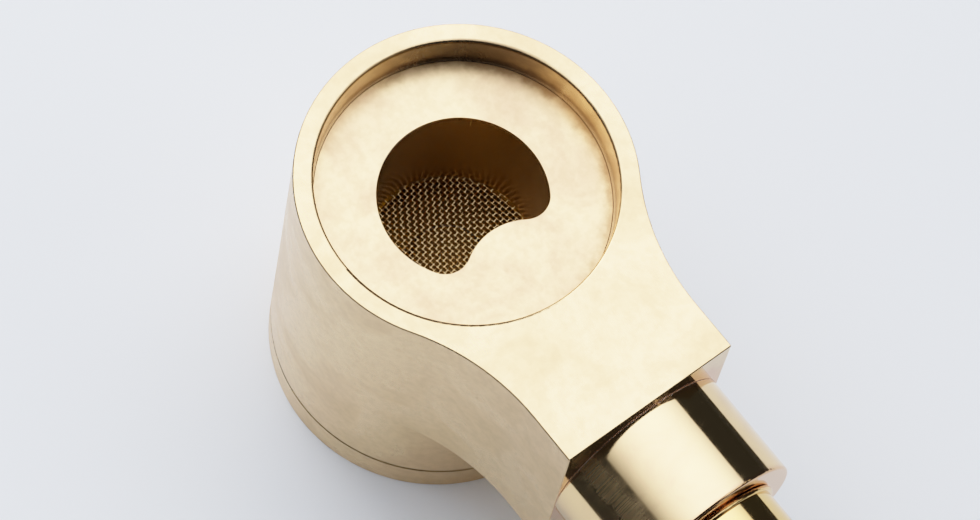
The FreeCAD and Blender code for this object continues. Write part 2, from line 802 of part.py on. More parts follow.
def make_outlet_tube():
    """The tube: a journal inside the collar, a bead that covers the running gap, and the spigot."""
    tube = size("tube_radius")
    journal = size("journal_radius")
    shoulder_x = size("collar_end_x") + gap
    groove_radius = journal - groove_half * 2
    ring_half = size("snap_ring_thickness") / 2 + gap * 2
    outline = [
        (size("tube_bore_radius"), size("tube_start_x")),
        (journal, size("tube_start_x")),
    ]
    grooves = (
        (size("rear_seal_x"), groove_half, groove_radius),
        (size("front_seal_x"), groove_half, groove_radius),
        (size("snap_ring_x"), ring_half, size("snap_ring_inner") - gap * 2),
    )
    for middle, half, bottom in grooves:
        outline += [(journal, middle - half), (bottom, middle - half),
                    (bottom, middle + half), (journal, middle + half)]
    outline += [
        (journal, shoulder_x),
        (size("bead_radius"), shoulder_x),
        (size("bead_radius"), shoulder_x + size("bead_width")),
        (tube, shoulder_x + size("bead_width")),
        (tube, size("tube_end_x") - size("tube_chamfer")),
        (tube - size("tube_chamfer"), size("tube_end_x")),
        (size("tube_bore_radius"), size("tube_end_x")),
    ]
    spigot = turned("outlet_spigot", outline)
    dress(spigot, "PartDesign::Fillet", "Bead", on_bead, Radius=size("bead_fillet"))
    lay_along_outlet(spigot)
    for name in ("rear", "front"):
        ring = o_ring(f"spigot_o_ring_{name}", journal - groove_half, outlet_z)
        ring.Placement = Placement(Vector(0, 0, 0), Rotation(Vector(0, 1, 0), 90))
        bind(ring, Placement_Base_x=size(f"{name}_seal_x"), Placement_Base_z=outlet_z)


make_outlet_tube()


# ---------------------------------------------------------------- checks and files

doc.recompute()
for thing in doc.Objects:
    if "Invalid" in thing.State or "Error" in thing.State:
        raise RuntimeError(f"{thing.Label} failed to recompute: {thing.State}")
for node in NODES:
    shape = node.Shape
    if shape.isNull() or not shape.isValid() or len(shape.Solids) != 1:
        raise RuntimeError(f"{node.Label} isn't one valid solid")

os.makedirs("parts", exist_ok=True)
for node in NODES:
    node.Shape.exportStep(f"parts/{node.Label}.step")
    print(f"{node.Label:22s} {node.Shape.Volume:10.2f} mm3")
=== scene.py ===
# %% [markdown]
# # A brass water pressure regulator
# The part is a round brass head with a recessed inlet, a kidney-shaped port with a woven
# strainer at its bottom, a flared arm, a polished collar and a swivelling outlet tube.
# The engineering model already gives every turned and milled piece its true shape, so this
# lesson adds what that model leaves plain: the woven wire cloth, and the finish of each metal.
# The first line loads the fixed model, and nothing after it moves or resizes a piece of it.

import math

import bmesh
import bpy
from mathutils import Matrix, Vector


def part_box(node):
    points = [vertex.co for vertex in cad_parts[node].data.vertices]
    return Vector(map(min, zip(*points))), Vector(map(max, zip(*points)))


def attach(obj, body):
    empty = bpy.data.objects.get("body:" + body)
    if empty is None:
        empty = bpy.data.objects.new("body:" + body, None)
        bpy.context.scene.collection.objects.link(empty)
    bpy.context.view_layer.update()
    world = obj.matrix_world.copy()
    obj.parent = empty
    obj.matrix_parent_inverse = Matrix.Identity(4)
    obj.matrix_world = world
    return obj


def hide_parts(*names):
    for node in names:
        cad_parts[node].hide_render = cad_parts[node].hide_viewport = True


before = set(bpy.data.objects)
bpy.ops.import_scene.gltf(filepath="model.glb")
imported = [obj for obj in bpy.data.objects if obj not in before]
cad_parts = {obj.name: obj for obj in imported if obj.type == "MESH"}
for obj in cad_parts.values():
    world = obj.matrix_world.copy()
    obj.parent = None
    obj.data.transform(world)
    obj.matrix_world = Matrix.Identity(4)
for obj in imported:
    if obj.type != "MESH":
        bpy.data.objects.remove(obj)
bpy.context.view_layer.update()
print("pieces in the fixed model:", len(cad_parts))

# %% [markdown]
# Sizes come from the model's own boxes, so the looks follow the design if it changes.
# One millimetre is a name of its own, because workshop sizes read better in millimetres.
# The socket is a little wider than the cup that fills its floor, by the ledge given here.

# %% Sizes read from the model
MM = 0.001
body_low, body_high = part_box("regulator_body")
screen_low, screen_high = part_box("strainer_screen")
tube_low, tube_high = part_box("outlet_spigot")
cup_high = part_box("strainer_cup")[1]
collar_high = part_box("outlet_collar")[1]
head_radius = -body_low.x
top_z = body_high.z
floor_z = cup_high.z
FLOOR_LEDGE = 0.25 * MM
socket_radius = cup_high.x + FLOOR_LEDGE
arm_end_x = body_high.x
collar_radius = collar_high.y
collar_end_x = collar_high.x
outlet_z = (tube_low.z + tube_high.z) / 2
print(f"head radius {head_radius / MM:.2f} mm, top {top_z / MM:.2f} mm, outlet axis {outlet_z / MM:.2f} mm")

# %% [markdown]
# Materials here are wired by hand, so a small helper keeps each recipe short.
# It makes one node, sets its values, and links any value that is itself a socket.

# %% A helper that wires shader nodes


class Wiring:
    """Adds nodes to one shader tree and links them."""

    def __init__(self, tree):
        self.tree = tree

    def add(self, kind, settings=None, **inputs):
        node = self.tree.nodes.new(kind)
        for name, value in (settings or {}).items():
            setattr(node, name, value)
        for name, value in inputs.items():
            self.feed(node.inputs[name.replace("_", " ")], value)
        return node

    def feed(self, socket, value):
        if isinstance(value, bpy.types.NodeSocket):
            self.tree.links.new(value, socket)
        else:
            socket.default_value = value

    def math(self, operation, first, second=0.0, third=0.0):
        node = self.tree.nodes.new("ShaderNodeMath")
        node.operation = operation
        for socket, value in zip(node.inputs, (first, second, third)):
            self.feed(socket, value)
        return node.outputs[0]

    def mix_colour(self, factor, first, second, blend="MIX"):
        node = self.tree.nodes.new("ShaderNodeMix")
        node.data_type = "RGBA"
        node.blend_type = blend
        self.feed(node.inputs[0], factor)
        self.feed(node.inputs[6], first)
        self.feed(node.inputs[7], second)
        return node.outputs[2]

    def remap(self, value, low, high, new_low=0.0, new_high=1.0):
        node = self.add("ShaderNodeMapRange", {"interpolation_type": "SMOOTHSTEP"})
        for socket, number in zip(node.inputs, (value, low, high, new_low, new_high)):
            self.feed(socket, number)
        return node.outputs[0]


def rgb(red, green, blue):
    return (red, green, blue, 1.0)


# %% [markdown]
# An effect that several finishes share is built once as a node group with named sockets.
# This helper opens the group and returns its wiring and its two ends.

# %% A helper that opens a node group


def open_group(name, inputs, outputs):
    group = bpy.data.node_groups.new(name, "ShaderNodeTree")
    for label, kind, value in inputs:
        socket = group.interface.new_socket(label, in_out="INPUT", socket_type="NodeSocket" + kind)
        if value is not None:
            socket.default_value = value
    for label, kind in outputs:
        group.interface.new_socket(label, in_out="OUTPUT", socket_type="NodeSocket" + kind)
    wires = Wiring(group)
    start = group.nodes.new("NodeGroupInput")
    end = group.nodes.new("NodeGroupOutput")
    return wires, start.outputs, end.inputs


# %% [markdown]
# Turned work carries fine rings around the lathe's axis. This group measures how far a point
# is from an axis and how far along it, which every turned finish needs.

# %% Group: place about an axis
wires, given, result = open_group(
    "Place About Axis",
    [("Point", "Vector", None), ("Centre", "Vector", None), ("Axis", "Vector", (0.0, 0.0, 1.0))],
    [("Radius", "Float"), ("Along", "Float")],
)
offset = wires.add("ShaderNodeVectorMath", {"operation": "SUBTRACT"})
wires.feed(offset.inputs[0], given["Point"])
wires.feed(offset.inputs[1], given["Centre"])
along = wires.add("ShaderNodeVectorMath", {"operation": "DOT_PRODUCT"})
wires.feed(along.inputs[0], offset.outputs[0])
wires.feed(along.inputs[1], given["Axis"])
across = wires.add("ShaderNodeVectorMath", {"operation": "CROSS_PRODUCT"})
wires.feed(across.inputs[0], offset.outputs[0])
wires.feed(across.inputs[1], given["Axis"])
radius = wires.add("ShaderNodeVectorMath", {"operation": "LENGTH"})
wires.feed(radius.inputs[0], across.outputs[0])
wires.feed(result["Radius"], radius.outputs["Value"])
wires.feed(result["Along"], along.outputs["Value"])

# %% [markdown]
# A cutting tool leaves rings of uneven depth. A one-dimensional noise read against the sum of
# radius and length gives such rings on both the flat ends and the round sides.

# %% Group: turning marks
wires, given, result = open_group(
    "Turning Marks",
    [("Radius", "Float", 0.0), ("Along", "Float", 0.0), ("Rings Per Metre", "Float", 9000.0)],
    [("Height", "Float"), ("Coarse", "Float")],
)
place = wires.math("ADD", given["Radius"], given["Along"])
fine = wires.add("ShaderNodeTexNoise", {"noise_dimensions": "1D"}, Scale=1.0, Detail=3.0,
                 W=wires.math("MULTIPLY", place, given["Rings Per Metre"]))
slow = wires.math("MULTIPLY", given["Rings Per Metre"], 0.11)
coarse = wires.add("ShaderNodeTexNoise", {"noise_dimensions": "1D"}, Scale=1.0, Detail=2.0,
                   W=wires.math("MULTIPLY", place, slow))
wires.feed(result["Height"], fine.outputs[0])
wires.feed(result["Coarse"], coarse.outputs[0])

# %% [markdown]
# Bare brass never stays one colour. Cloudy oxide patches a few millimetres wide, broken by
# smaller ones, are two noises multiplied and pulled into a soft mask.

# %% Group: oxide clouds
wires, given, result = open_group(
    "Oxide Clouds",
    [("Point", "Vector", None), ("Patches Per Metre", "Float", 160.0), ("Cover", "Float", 0.5)],
    [("Mask", "Float"), ("Speckle", "Float")],
)
patches = wires.add("ShaderNodeTexNoise", Vector=given["Point"], Scale=given["Patches Per Metre"],
                    Detail=5.0, Roughness=0.62, Distortion=0.6)
fine_scale = wires.math("MULTIPLY", given["Patches Per Metre"], 9.0)
speckle = wires.add("ShaderNodeTexNoise", Vector=given["Point"], Scale=fine_scale, Detail=3.0)
low = wires.math("SUBTRACT", 0.85, wires.math("MULTIPLY", given["Cover"], 0.6))
mask = wires.remap(patches.outputs[0], wires.math("SUBTRACT", low, 0.18), wires.math("ADD", low, 0.18))
wires.feed(result["Mask"], mask)
wires.feed(result["Speckle"], wires.remap(speckle.outputs[0], 0.35, 0.68))

# %% [markdown]
# Satin faces are rubbed with fine abrasive, which leaves short hair lines in one direction.
# Stretching a noise along that direction makes them, and a second noise breaks them up.

# %% Group: satin grain
wires, given, result = open_group(
    "Satin Grain",
    [("Point", "Vector", None), ("Stretch", "Vector", (900.0, 9000.0, 9000.0))],
    [("Height", "Float")],
)
stretched = wires.add("ShaderNodeVectorMath", {"operation": "MULTIPLY"})
wires.feed(stretched.inputs[0], given["Point"])
wires.feed(stretched.inputs[1], given["Stretch"])
hairs = wires.add("ShaderNodeTexNoise", Vector=stretched.outputs[0], Scale=1.0, Detail=2.0, Roughness=0.7)
wires.feed(result["Height"], hairs.outputs[0])

# %% [markdown]
# Bands of colour or gloss lie at one known radius, height or bearing, some as painted shade.
# This group makes a soft band about a value, with an edge that noise makes uneven.

# %% Group: uneven band
wires, given, result = open_group(
    "Uneven Band",
    [("Value", "Float", 0.0), ("Middle", "Float", 0.0), ("Half Width", "Float", 0.001),
     ("Point", "Vector", None), ("Unevenness", "Float", 0.5)],
    [("Mask", "Float")],
)
wobble = wires.add("ShaderNodeTexNoise", Vector=given["Point"], Scale=420.0, Detail=4.0, Roughness=0.6)
shift = wires.math("MULTIPLY", wires.math("SUBTRACT", wobble.outputs[0], 0.5), given["Unevenness"])
distance = wires.math("ABSOLUTE", wires.math("SUBTRACT", given["Value"], given["Middle"]))
share = wires.math("DIVIDE", distance, given["Half Width"])
wires.feed(result["Mask"], wires.remap(wires.math("ADD", share, shift), 1.0, 0.15))


def use_group(wires, name, **inputs):
    """Places a node group in a tree and returns its outputs."""
    return wires.add("ShaderNodeGroup", {"node_tree": bpy.data.node_groups[name]}, **inputs).outputs


def object_point(wires):
    """The surface point in the piece's own metres."""
    return wires.add("ShaderNodeTexCoord").outputs["Object"]


# %% [markdown]
# Each material is one Principled shader. Values that are the same all over go straight on the
# shader, and only colours, roughness and bumps that change over the surface come from nodes.

# %% A helper that starts a material


def new_material(name, metallic=1.0, roughness=0.3, colour=rgb(0.8, 0.8, 0.8), **fixed):
    material = bpy.data.materials.new(name)
    material.use_nodes = True
    material.node_tree.nodes.clear()
    wires = Wiring(material.node_tree)
    shader = wires.add("ShaderNodeBsdfPrincipled", Metallic=metallic, Roughness=roughness,
                       Base_Color=colour, **fixed)
    output = wires.add("ShaderNodeOutputMaterial")
    wires.feed(output.inputs["Surface"], shader.outputs[0])
    return material, wires, shader.inputs


def add_bump(wires, shader, height, depth, strength=1.0):
    """Raises the shader's surface by a height map whose full range is depth metres."""
    bump = wires.add("ShaderNodeBump", Strength=strength, Distance=depth, Height=height)
    wires.feed(shader["Normal"], bump.outputs[0])


# %% [markdown]
# Metal colours are named here, from bare pale brass to oxide tints, with a few that are painted shade or a
# painted highlight.

# %% Colours of the metals
PALE_BRASS = rgb(0.79, 0.555, 0.285)
DULL_BRASS = rgb(0.60, 0.40, 0.19)
PINK_BRASS = rgb(0.61, 0.385, 0.215)
BROWN_STAIN_AND_SHADE = rgb(0.30, 0.165, 0.07)
# Painted shade: near-black for one side of the socket wall.
PAINTED_SHADE_BLACK = rgb(0.10, 0.065, 0.04)
# Painted shade: dark brown for the wall down the port.
PORT_SHADE_BROWN = rgb(0.37, 0.185, 0.006)
COPPER_BLUSH = rgb(0.62, 0.30, 0.17)
# Painted shade: dark browns for the surfaces below the strainer.
INTERIOR_SHADE_BROWN = rgb(0.11, 0.052, 0.010)
DEEP_INTERIOR_SHADE_BROWN = rgb(0.06, 0.028, 0.006)
COLLAR_BRASS = rgb(0.79, 0.55, 0.27)
TUBE_BRASS = rgb(0.78, 0.51, 0.18)
# Painted highlight: pale colour for the collar's inner edge.
PAINTED_EDGE_HIGHLIGHT = rgb(0.95, 0.88, 0.78)
WIRE_BRASS = rgb(0.80, 0.59, 0.31)
OLD_WIRE_BRASS = rgb(0.70, 0.46, 0.20)
GREY_STEEL = rgb(0.45, 0.45, 0.44)
SOOT_RUBBER = rgb(0.012, 0.012, 0.013)
WORN_RUBBER = rgb(0.03, 0.03, 0.032)

# %% [markdown]
# The head and arm have a satin finish: milled, then rubbed with fine abrasive, and left to
# dull a little. Clouds of oxide shift both its colour and its gloss. The arm's end was lapped
# flat for the collar to seat on, so it is much smoother. The wall of the socket gets a brown
# band at its foot and, on one side, a near-black band of painted shade, and every surface
# below the strainer is painted dark brown as shade and made rougher.

# %% Finish: satin brass
SATIN_DEPTH = 0.0025 * MM
LAPPED_DEPTH = 0.05 * MM
# Bearing and spread of the near-black band of painted shade on the socket wall.
SHADE_PAINTED_SIDE = math.radians(134)
SHADE_PAINTED_SIDE_SPREAD = math.radians(42)


def satin_brass():
    material, wires, shader = new_material("satin_brass")
    point = object_point(wires)
    parts = wires.add("ShaderNodeSeparateXYZ", Vector=point).outputs
    place = use_group(wires, "Place About Axis", Point=point)
    clouds = use_group(wires, "Oxide Clouds", Point=point, Patches_Per_Metre=110.0, Cover=0.55)
    grain = use_group(wires, "Satin Grain", Point=point)
    inside = wires.remap(place["Radius"], socket_radius + 0.5 * MM, socket_radius + 0.3 * MM)
    # A brown band lies along the foot of the socket wall.
    corner = use_group(wires, "Uneven Band", Value=parts["Z"], Middle=floor_z, Half_Width=1.5 * MM,
                       Point=point, Unevenness=1.3)
    # Painted shade: inside the socket, the body below the strainer is coloured dark brown and made rougher.
    shaded_below = wires.math("MULTIPLY", inside, wires.remap(parts["Z"], floor_z - 1 * MM, floor_z - 2 * MM))
    lapped = wires.math("GREATER_THAN", parts["X"], arm_end_x - LAPPED_DEPTH)
    joint = use_group(wires, "Place About Axis", Point=point, Centre=(0.0, 0.0, outlet_z),
                      Axis=(1.0, 0.0, 0.0))
    blush = use_group(wires, "Uneven Band", Value=joint["Radius"], Middle=collar_radius,
                      Half_Width=3.2 * MM, Point=point, Unevenness=1.6)
    toned = wires.mix_colour(wires.math("MULTIPLY", clouds["Mask"], 0.58), PALE_BRASS, DULL_BRASS)
    speckled = wires.mix_colour(wires.math("MULTIPLY", clouds["Speckle"], 0.14), toned, BROWN_STAIN_AND_SHADE)
    bearing = wires.math("ARCTAN2", parts["Y"], parts["X"])
    side = use_group(wires, "Uneven Band", Value=bearing, Middle=SHADE_PAINTED_SIDE, Half_Width=SHADE_PAINTED_SIDE_SPREAD,
                     Point=point, Unevenness=0.8)
    brown_share = wires.math("MULTIPLY", wires.math("MULTIPLY", corner["Mask"], 0.6), inside)
    banded = wires.mix_colour(brown_share, speckled, BROWN_STAIN_AND_SHADE)
    # Painted shade: a near-black band on one side of the socket wall, where the wall shows a dark reflection.
    painted_shade_share = wires.math("MULTIPLY", wires.math("MULTIPLY", side["Mask"], 0.72), inside)
    darkened = wires.mix_colour(painted_shade_share, banded, PAINTED_SHADE_BLACK)
    blush_share = wires.math("MULTIPLY", wires.math("MULTIPLY", blush["Mask"], lapped), 0.7)
    blushed = wires.mix_colour(blush_share, darkened, COPPER_BLUSH)
    wires.feed(shader["Base Color"], wires.mix_colour(shaded_below, blushed, INTERIOR_SHADE_BROWN))
    rough = wires.math("MULTIPLY_ADD", clouds["Mask"], 0.08, 0.22)
    rough = wires.math("MULTIPLY_ADD", grain["Height"], 0.08, rough)
    rough = wires.math("MAXIMUM", rough, wires.math("MULTIPLY", shaded_below, 0.5))
    smooth = wires.math("MULTIPLY_ADD", clouds["Speckle"], 0.05, 0.07)
    unlapped = wires.math("SUBTRACT", 1.0, lapped)
    wires.feed(shader["Roughness"], wires.math("ADD", wires.math("MULTIPLY", rough, unlapped),
                                               wires.math("MULTIPLY", smooth, lapped)))
    add_bump(wires, shader, wires.math("MULTIPLY", grain["Height"], unlapped), SATIN_DEPTH)
    return material


# %% [markdown]
# The socket floor and the port are one turned cup. Its floor is bead-blasted to a soft satin,
# its port wall is painted dark brown as shade, and a brown band runs round most of the floor's edge.

# %% Finish: strainer cup
CUP_MARK_DEPTH = 0.001 * MM
# Bearing and spread of the brown band round the floor's edge.
BANDED_SIDE = math.radians(100)
BANDED_SIDE_SPREAD = math.radians(120)


def cup_brass():
    material, wires, shader = new_material("cup_brass")
    point = object_point(wires)
    place = use_group(wires, "Place About Axis", Point=point)
    clouds = use_group(wires, "Oxide Clouds", Point=point, Patches_Per_Metre=140.0, Cover=0.5)
    marks = use_group(wires, "Turning Marks", Radius=place["Radius"], Along=place["Along"],
                      Rings_Per_Metre=6000.0)
    milled = use_group(wires, "Satin Grain", Point=point, Stretch=(2600.0, 2600.0, 60.0))
    edge = use_group(wires, "Uneven Band", Value=place["Radius"], Middle=socket_radius,
                     Half_Width=1.7 * MM, Point=point, Unevenness=1.5)
    parts = wires.add("ShaderNodeSeparateXYZ", Vector=point).outputs
    bearing = wires.math("ARCTAN2", parts["Y"], parts["X"])
    side = use_group(wires, "Uneven Band", Value=bearing, Middle=BANDED_SIDE,
                     Half_Width=BANDED_SIDE_SPREAD, Point=point, Unevenness=1.0)
    low_enough = wires.remap(place["Along"], floor_z - 0.15 * MM, floor_z - 0.5 * MM)
    in_port = wires.remap(place["Radius"], screen_high.x + 0.3 * MM, screen_high.x)
    below = wires.math("MULTIPLY", low_enough, in_port)
    toned = wires.mix_colour(wires.math("MULTIPLY", clouds["Mask"], 0.8), PALE_BRASS, PINK_BRASS)
    speckled = wires.mix_colour(wires.math("MULTIPLY", clouds["Speckle"], 0.16), toned, BROWN_STAIN_AND_SHADE)
    # A brown band lies along most of the floor's edge.
    edge_band_share = wires.math("MULTIPLY", wires.math("MULTIPLY", edge["Mask"], side["Mask"]), 0.85)
    darkened = wires.mix_colour(edge_band_share, speckled, BROWN_STAIN_AND_SHADE)
    # Painted shade: the port wall below the floor is coloured dark brown, broken by milling grain.
    port_shade = wires.mix_colour(wires.math("MULTIPLY", milled["Height"], 0.25), PORT_SHADE_BROWN, BROWN_STAIN_AND_SHADE)
    wires.feed(shader["Base Color"], wires.mix_colour(below, darkened, port_shade))
    above = wires.math("SUBTRACT", 1.0, below)
    satin_gloss = wires.math("MULTIPLY_ADD", wires.math("MULTIPLY", clouds["Mask"], above), 0.06, 0.33)
    milled_gloss = wires.math("MULTIPLY_ADD", milled["Height"], 0.06, -0.10)
    wires.feed(shader["Roughness"], wires.math("MULTIPLY_ADD", below, milled_gloss, satin_gloss))
    floor_height = wires.math("MULTIPLY", marks["Height"], above)
    height = wires.math("MULTIPLY_ADD", wires.math("MULTIPLY", milled["Height"], below), 0.6, floor_height)
    add_bump(wires, shader, height, CUP_MARK_DEPTH)
    return material


# %% [markdown]
# The collar and the outlet tube are turned and polished until they mirror the studio. Faint
# rings remain, and hand polishing leaves shallow waves that bend long straight reflections.
# One narrow strip is scuffed along its length, the collar's outer rim has a copper blush, and
# its inner edge is a rough line painted pale as a highlight.

# %% Finish: polished brass
EDGE_BREAK = 0.06 * MM
POLISH_DEPTH = 0.0012 * MM
SCUFF_SPREAD = 0.24
COLLAR_SCUFF = math.radians(-47)
TUBE_SCUFF = math.radians(120)


def polished_brass(name, colour, roughness, scuff_angle):
    material, wires, shader = new_material(name, roughness=roughness)
    point = object_point(wires)
    place = use_group(wires, "Place About Axis", Point=point, Centre=(0.0, 0.0, outlet_z),
                      Axis=(1.0, 0.0, 0.0))
    marks = use_group(wires, "Turning Marks", Radius=place["Radius"], Along=place["Along"],
                      Rings_Per_Metre=9000.0)
    clouds = use_group(wires, "Oxide Clouds", Point=point, Patches_Per_Metre=230.0, Cover=0.45)
    waves = wires.add("ShaderNodeTexNoise", Vector=point, Scale=260.0, Detail=2.0)
    parts = wires.add("ShaderNodeSeparateXYZ", Vector=point).outputs
    rise = wires.math("SUBTRACT", parts["Z"], outlet_z)
    turn = wires.math("ARCTAN2", parts["Y"], rise)
    scuff = use_group(wires, "Uneven Band", Value=turn, Middle=scuff_angle, Half_Width=SCUFF_SPREAD,
                      Point=point, Unevenness=0.7)
    scratch = wires.math("MULTIPLY", scuff["Mask"], wires.remap(marks["Height"], 0.35, 0.65, 0.6, 1.0))
    rim = use_group(wires, "Uneven Band", Value=parts["X"], Middle=collar_end_x, Half_Width=0.7 * MM,
                    Point=point, Unevenness=1.2)
    shoulder = wires.math("MULTIPLY", wires.math("GREATER_THAN", parts["X"], arm_end_x - EDGE_BREAK),
                          wires.math("LESS_THAN", parts["X"], arm_end_x + EDGE_BREAK))
    tint = wires.mix_colour(wires.math("MULTIPLY", clouds["Mask"], 0.4), colour, PINK_BRASS)
    blushed = wires.mix_colour(wires.math("MULTIPLY", rim["Mask"], 0.5), tint, COPPER_BLUSH)
    # Painted highlight: the rough line at the collar's inner edge is coloured pale.
    wires.feed(shader["Base Color"], wires.mix_colour(shoulder, blushed, PAINTED_EDGE_HIGHLIGHT))
    rough = wires.math("MULTIPLY_ADD", clouds["Mask"], 0.05, roughness)
    rough = wires.math("MULTIPLY_ADD", shoulder, 0.45, rough)
    rough = wires.math("MULTIPLY_ADD", scratch, 0.30, rough)
    wires.feed(shader["Roughness"], wires.math("MULTIPLY_ADD", marks["Coarse"], 0.05, rough))
    height = wires.math("MULTIPLY_ADD", waves.outputs[0], 4.0, marks["Height"])
    add_bump(wires, shader, height, POLISH_DEPTH)
    return material


# %% [markdown]
# The other pieces are small and mostly hidden: rubber rings, steel screws and springs, an
# acetal piston, a porous bronze vent and a red fibre gasket.

# %% Finishes for the small pieces
RUBBER_DEPTH = 0.004 * MM
STEEL_MARK_DEPTH = 0.001 * MM


def wire_brass():
    material, wires, shader = new_material("wire_brass")
    point = object_point(wires)
    clouds = use_group(wires, "Oxide Clouds", Point=point, Patches_Per_Metre=400.0, Cover=0.45)
    wires.feed(shader["Base Color"], wires.mix_colour(clouds["Mask"], WIRE_BRASS, OLD_WIRE_BRASS))
    wires.feed(shader["Roughness"], wires.math("MULTIPLY_ADD", clouds["Speckle"], 0.08, 0.17))
    return material


def seal_rubber():
    material, wires, shader = new_material("seal_rubber", metallic=0.0, roughness=0.55)
    point = object_point(wires)
    clouds = use_group(wires, "Oxide Clouds", Point=point, Patches_Per_Metre=900.0, Cover=0.5)
    wires.feed(shader["Base Color"], wires.mix_colour(clouds["Mask"], SOOT_RUBBER, WORN_RUBBER))
    wires.feed(shader["Roughness"], wires.math("MULTIPLY_ADD", clouds["Speckle"], 0.2, 0.45))
    add_bump(wires, shader, clouds["Speckle"], RUBBER_DEPTH)
    return material


def bright_steel(name, colour, roughness):
    material, wires, shader = new_material(name, roughness=roughness)
    point = object_point(wires)
    place = use_group(wires, "Place About Axis", Point=point)
    marks = use_group(wires, "Turning Marks", Radius=place["Radius"], Along=place["Along"],
                      Rings_Per_Metre=12000.0)
    wires.feed(shader["Base Color"], wires.mix_colour(marks["Coarse"], colour, GREY_STEEL))
    wires.feed(shader["Roughness"], wires.math("MULTIPLY_ADD", marks["Height"], 0.12, roughness))
    add_bump(wires, shader, marks["Height"], STEEL_MARK_DEPTH)
    return material


def cast_texture(name, metallic, light, dark, roughness, grains, depth):
    """A matt finish whose colour and height follow fine grains."""
    material, wires, shader = new_material(name, metallic=metallic, roughness=roughness)
    point = object_point(wires)
    clouds = use_group(wires, "Oxide Clouds", Point=point, Patches_Per_Metre=grains, Cover=0.5)
    wires.feed(shader["Base Color"], wires.mix_colour(clouds["Speckle"], light, dark))
    wires.feed(shader["Roughness"], wires.math("MULTIPLY_ADD", clouds["Mask"], 0.15, roughness - 0.08))
    add_bump(wires, shader, clouds["Speckle"], depth)
    return material


# %% [markdown]
# Each finish is put on the nodes that the design gives it to. A carried piece keeps its mesh,
# and only the material in its slot changes.

# %% Put the finishes on the carried pieces
satin = satin_brass()
cup_finish = cup_brass()
collar_finish = polished_brass("polished_brass", COLLAR_BRASS, 0.045, COLLAR_SCUFF)
tube_finish = polished_brass("golden_brass", TUBE_BRASS, 0.04, TUBE_SCUFF)
# Painted shade: the valve pieces under the strainer are coloured near-black brown.
interior_shade_finish = cast_texture("interior_shade_brass", 1.0, INTERIOR_SHADE_BROWN, DEEP_INTERIOR_SHADE_BROWN, 0.6, 300.0, 0.003 * MM)
wire_finish = wire_brass()
rubber = seal_rubber()
steel = bright_steel("bright_steel", rgb(0.62, 0.62, 0.60), 0.22)
spring_wire = bright_steel("spring_wire", rgb(0.40, 0.41, 0.43), 0.3)
acetal = cast_texture("acetal", 0.0, rgb(0.80, 0.79, 0.74), rgb(0.72, 0.71, 0.66), 0.4, 300.0, 0.003 * MM)
bronze = cast_texture("sintered_bronze", 1.0, rgb(0.52, 0.30, 0.14), rgb(0.16, 0.09, 0.04), 0.6, 600.0,
                      0.04 * MM)
fibre = cast_texture("red_fibre", 0.0, rgb(0.34, 0.08, 0.04), rgb(0.20, 0.04, 0.02), 0.7, 500.0, 0.01 * MM)

FINISHES = {
    "regulator_body": satin,
    "base_cap": satin,
    "strainer_cup": cup_finish,
    "screen_ring": cup_finish,
    "spring_seat_nut": cup_finish,
    "valve_poppet": interior_shade_finish,
    "outlet_collar": collar_finish,
    "outlet_spigot": tube_finish,
    "strainer_screen": wire_finish,
    "seat_insert": interior_shade_finish,
    "valve_stem": interior_shade_finish,
    "stem_nut": steel,
    "cup_dowel": steel,
    "adjusting_screw": steel,
    "regulating_spring": spring_wire,
    "swivel_snap_ring": spring_wire,
    "piston": acetal,
    "vent_disc": bronze,
    "collar_gasket": fibre,
    "cup_o_ring": rubber,
    "poppet_seal": rubber,
    "piston_o_ring": rubber,
    "base_cap_o_ring": rubber,
    "adjuster_o_ring": rubber,
    "spigot_o_ring_rear": rubber,
    "spigot_o_ring_front": rubber,
}
for node, finish in FINISHES.items():
    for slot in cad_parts[node].material_slots:
        slot.material = finish

# %% [markdown]
# Strainer cloth is a plain weave: every wire goes over one crossing wire and under the next.
# A picture of a grid would look flat and would not catch the light at each crossing, so each
# wire is a real tube whose centre line is a wave, one half wave for each crossing.
# The cloth has been rolled, so its crossings are pressed together and the waves are shallow.
# It is cut round, with its wires turned a few degrees from the arm.

# %% The woven strainer cloth
CLOTH_PITCH = 0.508 * MM
WIRE_RADIUS = 0.057 * MM
CRIMP_HEIGHT = 0.043 * MM
CLOTH_TURN = math.radians(11.5)
STEPS_PER_CROSSING = 6
WIRE_SIDES = 8
CLOTH_EDGE_GAP = 0.06 * MM
cloth_radius = screen_high.x - CLOTH_EDGE_GAP
cloth_z = (screen_low.z + screen_high.z) / 2


def add_wire(mesh, centre_line, radius, sides):
    """Adds a closed tube along a list of points that all lie in one upright plane."""
    rings = []
    for i, point in enumerate(centre_line):
        before = centre_line[max(i - 1, 0)]
        after = centre_line[min(i + 1, len(centre_line) - 1)]
        forward = (after - before).normalized()
        side = forward.cross(Vector((0, 0, 1))).normalized()
        up = side.cross(forward)
        rings.append([mesh.verts.new(point + radius * (math.cos(turn) * side + math.sin(turn) * up))
                      for turn in (2 * math.pi * k / sides for k in range(sides))])
    for first, second in zip(rings, rings[1:]):
        for k in range(sides):
            mesh.faces.new((first[k], first[(k + 1) % sides], second[(k + 1) % sides], second[k]))
    mesh.faces.new(reversed(rings[0]))
    mesh.faces.new(rings[-1])


